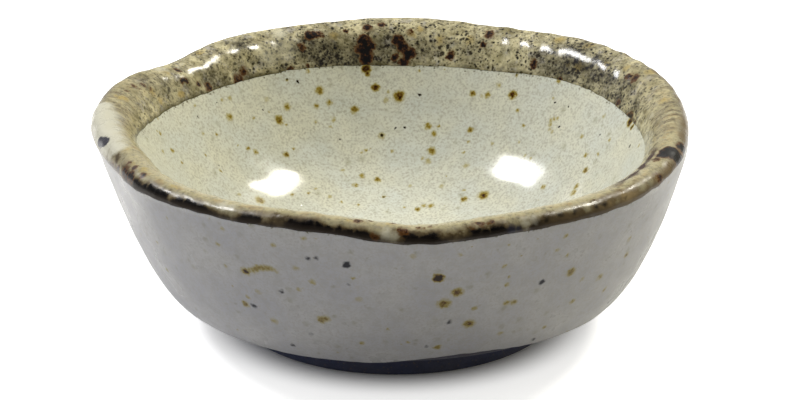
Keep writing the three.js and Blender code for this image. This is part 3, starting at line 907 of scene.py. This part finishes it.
# %% Dark places and gaps of the iron line
LINE_DARK = [
    (145, 188, 1.3, 0.75), (151, 190, 1.5, 0.85), (157, 193, 1.5, 0.85), (163, 196, 1.3, 0.75),
    (179, 201, 1.4, 0.8), (186, 204, 1.5, 0.85), (193, 206, 1.5, 0.85), (200, 208, 1.5, 0.85),
    (206, 210, 1.3, 0.75), (245, 218, 1.3, 0.7), (251, 219, 1.4, 0.75), (257, 220, 1.3, 0.65),
    (301, 225, 1.2, 0.55), (308, 226, 1.4, 0.7), (318, 227, 1.4, 0.7), (328, 229, 1.4, 0.8),
    (338, 231, 1.4, 0.8), (348, 232, 1.4, 0.8), (358, 233, 1.2, 0.7), (415, 240, 1.3, 0.8),
    (424, 240, 1.4, 0.9), (433, 239, 1.3, 0.8), (478, 234, 1.3, 0.7), (486, 233, 1.4, 0.85),
    (495, 232, 1.4, 0.85), (503, 231, 1.3, 0.7), (548, 219, 1.3, 0.5), (560, 215, 1.4, 0.48),
    (575, 212, 1.4, 0.5), (598, 207, 1.4, 0.52), (606, 205, 1.4, 0.52), (600, 203, 1.2, 0.45),
    (625, 196, 1.4, 0.42),
]
LINE_GAPS = [
    (97, 112, 4.5, 1), (96, 125, 4.5, 1), (98, 138, 4.5, 1), (104, 150, 4.5, 1), (110, 157, 3.4, 1),
    (119, 168, 2, 0.5), (131, 181, 1.8, 0.55), (172, 196, 1.4, 0.7), (224, 209, 2.6, 0.9),
    (232, 212, 2.4, 0.9), (393, 239, 2.4, 0.9), (515, 228, 2, 0.7), (527, 226, 2.2, 0.9), (588, 207, 2, 1),
    (642, 187, 2.6, 1), (649, 182, 2.6, 1), (218, 206, 2, 0.8), (265, 219, 2.4, 0.65),
    (275, 221, 2.4, 0.6), (386, 237, 2.4, 0.75), (446, 238, 2.2, 0.5), (456, 237, 2.2, 0.6),
    (466, 235, 2, 0.6), (560, 217, 1.5, 0.45), (572, 212, 1.5, 0.45), (617, 201, 1.6, 0.8),
]
band_area = band_outside(mark_turn), band_inside(mark_turn), SEAT + BAND_THICKNESS
blots, blue_spots, ochres, smoke, pale, dark_places, gaps = (place_marks(table, *band_area) for table in (
    BAND_BLOTS, BLUE_SPOTS, BAND_OCHRE, BAND_SMOKE, BAND_PALE_AND_HIGHLIGHT, LINE_DARK, LINE_GAPS))
print("dark places", len(LINE_DARK), "gaps", len(LINE_GAPS))

# %% Ash glaze: curdled ground
# Gives the eye a broken, earthy ring: curdled cream and grey, tan lips, black pepper
ash_band, tree, mm = new_material("ash_and_iron_glaze")
ragged = shaken(tree, mm, grain=0.5, reach=0.25)
torn = shaken(tree, ragged, grain=1.5, reach=0.9)
crumb, curd, cloud = (
    add(tree, "TexNoise", {"Vector": mm, "Scale": 1 / size, "Detail": detail, "Roughness": roughness})
    for size, detail, roughness in ((0.8, 5.0, 0.7), (2.0, 5.0, 0.65), (4.5, 3.0, 0.5)))
lilac = add(tree, "SeparateColor", {0: curd.node.outputs["Color"]}, 2)
colour = painted(
    tree, linear("#9c9474"), ("#cfc59c", curd, 0.44, 0.60), ("#aaa6a0", lilac, 0.54, 0.66, 0.7),
    ("#dcd5b4", crumb, 0.52, 0.66, 0.5), ("#4a4122", crumb, 0.48, 0.36, 0.7),
    ("#7a7144", cloud, 0.52, 0.70, 0.6))
print("ground of the band, nodes", len(tree.nodes))

# %% Ash glaze: places on the rim
# Places are millimetres to the right and to the back of the axis, on the unrolled rim, and in from the
# crown of the lip
unrolled = add(tree, "Attribute", output="Vector", attribute_name="unrolled")
rim_x, rim_y, from_crown = add(tree, "SeparateXYZ", {0: unrolled}).node.outputs
at_front, at_left = (rim_y, -20.0, -36.0), (rim_x, -25.0, -40.0)
front, left = within(tree, 1.0, at_front), within(tree, 1.0, at_left)
far_in = within(tree, front, (from_crown, 2.4, 4.2, 0.0, 0.8))
near_in = add(tree, "Math", {0: 1.0, 1: far_in}, operation="SUBTRACT")
tan_lip = within(tree, near_in, (rim_y, 27.0, -4.0), (from_crown, 6.0, 1.5))
tan_crest = within(tree, near_in, at_front, (from_crown, -0.2, 1.0, 0.0, 0.62))
print("places on the rim, nodes", len(tree.nodes))

# %% Ash glaze: tan lips
STREAKS = (0.75, 0.75, 0.12)  # to a millimetre: many along the rim, few across the lip
wandering = shaken(tree, unrolled, grain=3.0, reach=0.9)
drawn = add(tree, "VectorMath", {0: wandering, 1: STREAKS}, operation="MULTIPLY")
streak = add(tree, "TexNoise", {"Vector": drawn, "Scale": 1.0, "Detail": 5.0, "Roughness": 0.7})
sideways = add(tree, "Math", {0: rim_x}, operation="ABSOLUTE")
ochre = within(tree, tan_lip, (curd, 0.52, 0.66, 0.0, 0.75))
ash = within(tree, tan_lip, (crumb, 0.50, 0.36, 0.0, 0.6))
umber = within(tree, tan_lip, (streak, 0.47, 0.62, 0.0, 0.95), (sideways, 36.0, 44.0),
               (rim_y, -14.0, -2.0))
golden = add(tree, "Math", {0: marks(tree, torn, ochres), 1: crumb}, operation="MULTIPLY")
colour = painted(tree, colour, ("#b3a981", tan_lip, 0.0, 1.0, 0.75), ("#94794a", ochre, 0.0, 1.0, 0.9),
                 ("#777160", ash), ("#4f381c", umber), ("#d2ccb0", tan_crest),
                 ("#b09a58", golden, 0.12, 0.36, 0.8))
print("tan lips, nodes", len(tree.nodes))

# %% Ash glaze: pepper and smoke
SMOKE_CROWDS, SMOKE_SOOTS = 0.42, 0.6  # how much a smoky place adds to the pepper and to the soot
smoky = marks(tree, torn, smoke)
crowd = clouded(tree, mm, size=5.0, detail=2.0, low=0.35, high=0.65, least=-0.15, most=0.25)
crowd = add(tree, "Math", {0: smoky, 1: SMOKE_CROWDS, 2: crowd}, operation="MULTIPLY_ADD")
peppered = within(tree, 1.0, (tan_lip, 0.0, 1.0, 0.95, 0.35), (*at_left, 1.0, 0.6))
for where, spacing, least, reach, most, tone in (
        (torn, 1.7, 0.35, 0.36, 0.7, "#5b5030"), (torn, 1.3, 0.50, 0.45, 1.0, "#2a210f"),
        (ragged, 0.8, 0.30, 0.60, 1.0, "#1c1710"), (ragged, 0.5, 0.20, 0.70, 0.8, "#2b2823")):
    pepper = scatter(tree, where, spacing, least, reach, crowd)
    colour = painted(tree, colour, (tone, within(tree, peppered, (pepper, 0.1, 0.6, 0.0, most))))
haze = within(tree, 1.0, (crumb, 0.35, 0.65, 1.0, 0.45), (smoky, 0.1, 0.75, 0.0, 0.95))
soot = add(tree, "Math", {0: smoky, 1: SMOKE_SOOTS}, operation="MULTIPLY")
soot = add(tree, "Math", {0: soot, 1: crumb}, operation="SUBTRACT")
colour = painted(tree, colour, ("#1f1909", haze), ("#161316", soot, -0.02, 0.08, 0.8))
print("pepper and smoke, nodes", len(tree.nodes))

# %% [markdown]
# ### The edges of the band
#
# At its inside edge the ash glaze pools to a dark olive. On the outside it runs thin, and the iron that it
# carried stops in a line. The line wavers, is broader at the back and at the right of the front, breaks
# where the picture shows gaps, and is darkest where it shows drops. One more thread of iron slants in across
# the lip on the right.

# %% Ash glaze: pooled edge and iron line
from_edge = add(tree, "Attribute", output="Fac", attribute_name="from_inside_edge")
patch = within(tree, 1.0, (cloud, 0.42, 0.6))
patch = add(tree, "Math", {0: patch, 1: left}, operation="MAXIMUM")
pool = within(tree, patch, (from_edge, 0.9, 0.1, 0.0, 0.75))
broken = clouded(tree, unrolled, size=7.0, detail=2.0, low=0.34, high=0.48)
broken = add(tree, "Math", {0: broken, 1: front}, operation="MAXIMUM")
broken = add(tree, "Math", {0: broken, 1: marks(tree, torn, gaps)}, operation="SUBTRACT")
waver = clouded(tree, unrolled, size=3.0, detail=3.0, low=0.3, high=0.7, least=-0.5, most=0.5)
at_back = within(tree, 1.0, (rim_y, 10.0, 30.0, 0.0, -0.45))
at_right = within(tree, front, (rim_x, 28.0, 33.0, 0.0, -0.45))
line = from_crown
for shift in (waver, at_back, at_right):
    line = add(tree, "Math", {0: line, 1: shift}, operation="ADD")
line = within(tree, broken, (line, -0.6, -1.8), (curd, 0.36, 0.6, 1.2, 0.75))
colour = painted(tree, colour, ("#3d3819", pool), ("#726a52", from_crown, -0.1, -0.8, 0.5),
                 ("#5f5033", line, 0.1, 0.45), ("#140f0c", line, 0.35, 0.75))
print("iron line, nodes", len(tree.nodes))

# %% Ash glaze: browner and darker parts of the line
SEAM_SLOPE, SEAM_AT = 0.104, 4.5  # the thread's slope, and how far in from the crown it is beside the axis
for start, full, most, tone in ((19.0, 25.0, 0.9, "#66563a"), (30.0, 35.0, 0.8, "#93805c")):
    colour = painted(tree, colour, (tone, within(tree, line, (rim_x, start, full, 0.0, most))))
dark = within(tree, 1.0, (marks(tree, torn, dark_places), 0.25, 0.55))
from_white = add(tree, "Attribute", output="Fac", attribute_name="from_outside_edge")
slant = add(tree, "Math", {0: rim_y, 1: -SEAM_SLOPE, 2: from_crown}, operation="MULTIPLY_ADD")
slant = add(tree, "Math", {0: slant, 1: waver}, operation="ADD")
slant = add(tree, "Math", {0: slant, 1: SEAM_AT}, operation="SUBTRACT")
slant = add(tree, "Math", {0: slant}, operation="ABSOLUTE")
seam = within(tree, 1.0, (slant, 1.0, 0.4), (rim_x, 34.0, 38.0), (rim_y, -14.0, -18.0))
colour = painted(tree, colour, ("#0b0807", dark), ("#463d33", from_white, 0.8, 0.3, 0.5), ("#3d2415", seam))
print("line and seam, nodes", len(tree.nodes))

# %% Ash glaze: pale places, a painted highlight and blots
# The pale tone is white glaze showing through, and on the front-left crest it is a painted highlight
white = marks(tree, torn, pale)
blot = within(tree, marks(tree, torn, blots), (crumb, 0.35, 0.65, 0.5, 1.25))
blue = marks(tree, ragged, blue_spots)
colour = painted(tree, colour, ("#c8c5b2", white, 0.1, 0.6), ("#62401a", blot, 0.16, 0.38),
                 ("#301707", blot, 0.30, 0.52), ("#070403", blot, 0.42, 0.66), ("#2c2b36", blue, 0.1, 0.4))
print("blots, nodes", len(tree.nodes))

# %% Ash glaze: its face
# Wet and pitted, with dull curds on the crest of the lip that break up the window lights, and less sheen
# on the iron line
PIT_SIZE, PIT_DEPTH = 1.1, 0.05
pits = add(tree, "TexNoise", {"Vector": mm, "Scale": 1 / PIT_SIZE, "Detail": 3.0})
bump = add(tree, "Bump", {"Height": pits, "Distance": PIT_DEPTH * MM, "Strength": 1.0})
rough = add(tree, "MapRange", {"Value": from_crown, "From Min": 2.4, "From Max": 0.6, "To Min": 0.20,
                               "To Max": 0.24})
dull = within(tree, 1.0, (curd, 0.42, 0.56, 0.0, 0.3), (from_crown, 1.6, 0.4), (from_crown, -1.6, -0.5))
rough = add(tree, "Math", {0: rough, 1: dull}, operation="ADD")
black = add(tree, "Math", {0: dark, 1: line}, operation="MAXIMUM")
sheen = add(tree, "MapRange", {"Value": black, "To Min": 0.5, "To Max": 0.12})
shader = add(tree, "BsdfPrincipled", {"Base Color": colour, "Roughness": rough, "IOR": GLAZE_IOR,
                                      "Specular IOR Level": sheen, "Normal": bump})
add(tree, "OutputMaterial", {"Surface": shader})
rim_band.data.materials.append(ash_band)
print("rim band, nodes", len(tree.nodes))

# %% [markdown]
# ## Bare stoneware
#
# Unglazed stoneware is matt, dark and gritty, with pale grains of grog and the darker skin that iron wash
# leaves. The bowl's bare strip and the foot ring share the recipe, the ring a little bluer. The blue in both
# is painted cool shade: the clay is dark iron stoneware, and it lies in the shade under the dish.

# %% Bare clay of the bowl and the foot
# Gives the eye a dry, blue-black base that the pale bowl seems to float on; its blue is painted shade
GROG_SIZE, GRIT_SIZE, GRIT_DEPTH = 0.8, 0.4, 0.15
for piece, name, skin, body in ((clay_bowl, "bare_iron_stoneware", "#40424f", "#525058"),
                                (foot_ring, "foot_stoneware_iron_wash", "#434966", "#54566a")):
    clay, tree, mm = new_material(name)
    cloud = clouded(tree, mm, size=5.0, detail=6.0, low=0.35, high=0.65)
    grog = add(tree, "TexVoronoi", {"Vector": mm, "Scale": 1 / GROG_SIZE}, "Distance")
    colour = painted(tree, linear(skin), (body, cloud), ("#75695f", grog, 0.25, 0.12, 0.5))
    grit = add(tree, "TexNoise", {"Vector": mm, "Scale": 1 / GRIT_SIZE, "Detail": 4.0})
    bump = add(tree, "Bump", {"Height": grit, "Distance": GRIT_DEPTH * MM, "Strength": 1.0})
    rough = add(tree, "MapRange", {"Value": cloud, "To Min": 0.62, "To Max": 0.85})
    shader = add(tree, "BsdfPrincipled", {"Base Color": colour, "Roughness": rough, "Normal": bump})
    add(tree, "OutputMaterial", {"Surface": shader})
    piece.data.materials.append(clay)
    print(name, "nodes", len(tree.nodes))

# %% [markdown]
# ## Floor, world and lamps
#
# The dish stands on a white table in a white room, with a window behind it on either side, so that the
# inside is bright and the front lies in shade. The table and the room are white for the camera. The table
# gets there by a lift that closes towards the foot, so that it keeps the shadow of the dish, and that
# reflections see less of. As light, the room is strongest at the sides, a little warm on the right, and
# weakest behind the camera.

# %% White table
# Gives the eye plain white paper with a soft shadow under the dish: the cast shadow, deepened by a painted
# contact shadow where the lift fades out towards the foot
FLOOR_SIZE = 3.0
FLOOR_LIFT, MIRRORED_LIFT = 0.70, 0.2
LIFT_FROM, LIFT_TO = 26.0, 35.5  # millimetres from the axis
FIBRE_SIZE = 2.0
corner = FLOOR_SIZE / 2
corners = [(-corner, -corner, 0), (corner, -corner, 0), (corner, corner, 0), (-corner, corner, 0)]
floor_mesh = bpy.data.meshes.new("table")
floor_mesh.from_pydata(corners, [], [(0, 1, 2, 3)])
table = bpy.data.objects.new("table", floor_mesh)
bpy.context.scene.collection.objects.link(table)
table_white, tree, mm = new_material("white_table_top")
ray = add(tree, "LightPath").node.outputs
fibre = add(tree, "TexNoise", {"Vector": mm, "Scale": 1 / FIBRE_SIZE, "Detail": 3.0})
paper = painted(tree, linear("#f6f6f8"), ("#fafafa", fibre), ("#a8a8ac", ray["Is Diffuse Ray"]))
# Painted contact shadow: the glow is nothing within LIFT_FROM of the axis and full beyond LIFT_TO
from_foot = add(tree, "VectorMath", {0: mm, 1: (*AXIS, 0.0)}, "Value", operation="DISTANCE")
lift = add(tree, "MapRange", {"Value": from_foot, "From Min": LIFT_FROM, "From Max": LIFT_TO,
                              "To Max": FLOOR_LIFT}, interpolation_type="SMOOTHSTEP")
mirrored = add(tree, "Math", {0: ray["Is Glossy Ray"], 1: ray["Is Transmission Ray"]}, operation="MAXIMUM")
seen = add(tree, "Math", {0: mirrored, 1: MIRRORED_LIFT, 2: ray["Is Camera Ray"]}, operation="MULTIPLY_ADD")
lift = add(tree, "Math", {0: seen, 1: lift}, operation="MULTIPLY")
both = add(tree, "AddShader", {0: add(tree, "BsdfDiffuse", {"Color": paper}),
                               1: add(tree, "Emission", {"Strength": lift})})
add(tree, "OutputMaterial", {"Surface": both})
table.data.materials.append(table_white)
print("table, m", FLOOR_SIZE, "nodes", len(tree.nodes))

# %% White room
ALL_ROUND, OVERHEAD, LEFT_WALL, RIGHT_WALL = 0.03, 0.81, 1.18, 0.90
FRONT_OF_OVERHEAD = 0.35  # share of the overhead light that is left towards the camera
BEHIND_CAMERA, BEHIND_DISH = 0.12, 0.36  # what reflections see
world = bpy.data.worlds.new("white_room")
bpy.context.scene.world = world
world.use_nodes = True
tree = world.node_tree
tree.nodes.clear()
ray = add(tree, "LightPath").node.outputs
towards = add(tree, "TexCoord", output="Generated")
to_right, to_back, to_top = add(tree, "SeparateXYZ", {0: towards}).node.outputs
overhead = add(tree, "MapRange", {"Value": to_back, "From Min": -0.5, "From Max": 0.4,
                                  "To Min": OVERHEAD * FRONT_OF_OVERHEAD, "To Max": OVERHEAD})
room = ALL_ROUND
for direction, start, full, strength in ((to_top, 0.5, 1.0, overhead), (to_right, -0.45, -0.95, LEFT_WALL),
                                         (to_right, 0.45, 0.95, RIGHT_WALL)):
    part = add(tree, "MapRange", {"Value": direction, "From Min": start, "From Max": full,
                                  "To Max": strength}, interpolation_type="SMOOTHSTEP")
    room = add(tree, "Math", {0: part, 1: room}, operation="ADD")
backdrop = add(tree, "MapRange", {"Value": to_back, "From Min": -0.1, "From Max": 0.3,
                                  "To Min": BEHIND_CAMERA, "To Max": BEHIND_DISH})
mirrored = add(tree, "Math", {0: ray["Is Glossy Ray"], 1: ray["Is Transmission Ray"]}, operation="MAXIMUM")
strength = add(tree, "MapRange", {"Value": mirrored, "To Min": room, "To Max": backdrop})
strength = add(tree, "Math", {0: ray["Is Camera Ray"], 1: strength}, operation="MAXIMUM")
white = painted(tree, linear("#ffffff"), ("#fff9e0", to_right, 0.2, 0.8), ("#ffffff", ray["Is Camera Ray"]))
sky = add(tree, "Background", {"Color": white, "Strength": strength})
add(tree, "OutputWorld", {"Surface": sky})
print("room, nodes", len(tree.nodes))

# %% Windows
WINDOWS = [  # azimuth, elevation and roll in degrees, distance, width and height in metres, watts, colour
    ("window_right", 32.6, 49.3, 36, 1.0, 0.20, 0.42, 5.6, "#fffcf0"),
    ("window_left", 158.7, 49.3, -46, 1.0, 0.24, 0.40, 5.3, "#ffffff"),
]
for name, azimuth, elevation, roll, distance, width, height, power, tone in WINDOWS:
    lamp = bpy.data.lights.new(name, "AREA")
    lamp.shape, lamp.size, lamp.size_y, lamp.energy = "ELLIPSE", width, height, power
    lamp.color = linear(tone)[:3]
    window = bpy.data.objects.new(name, lamp)
    az, el = np.radians(azimuth), np.radians(elevation)
    window.location = distance * np.array([np.cos(az) * np.cos(el), np.sin(az) * np.cos(el), np.sin(el)])
    facing = Euler((np.pi / 2 - el, 0.0, az + np.pi / 2)).to_matrix()
    window.rotation_euler = (facing @ Matrix.Rotation(np.radians(roll), 3, "Z")).to_euler()
    bpy.context.scene.collection.objects.link(window)
print("lamps", [row[0] for row in WINDOWS])

# %% [markdown]
# ## Joining the pieces to the frame
#
# The dish has no joint, so every piece rides on the one body. Each replaces the node that it dresses.

# %% Ride, replace and finish
for piece, node, slot in ((clay_bowl, "clay_bowl", "bowl_clay"), (foot_ring, "foot_ring", "foot_clay"),
                          (inner_glaze, "inner_glaze", "inner_white_glaze"),
                          (outer_glaze, "outer_glaze", "outer_white_glaze"),
                          (rim_band, "rim_band", "rim_ash_glaze")):
    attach(piece, "root")
    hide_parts(node)
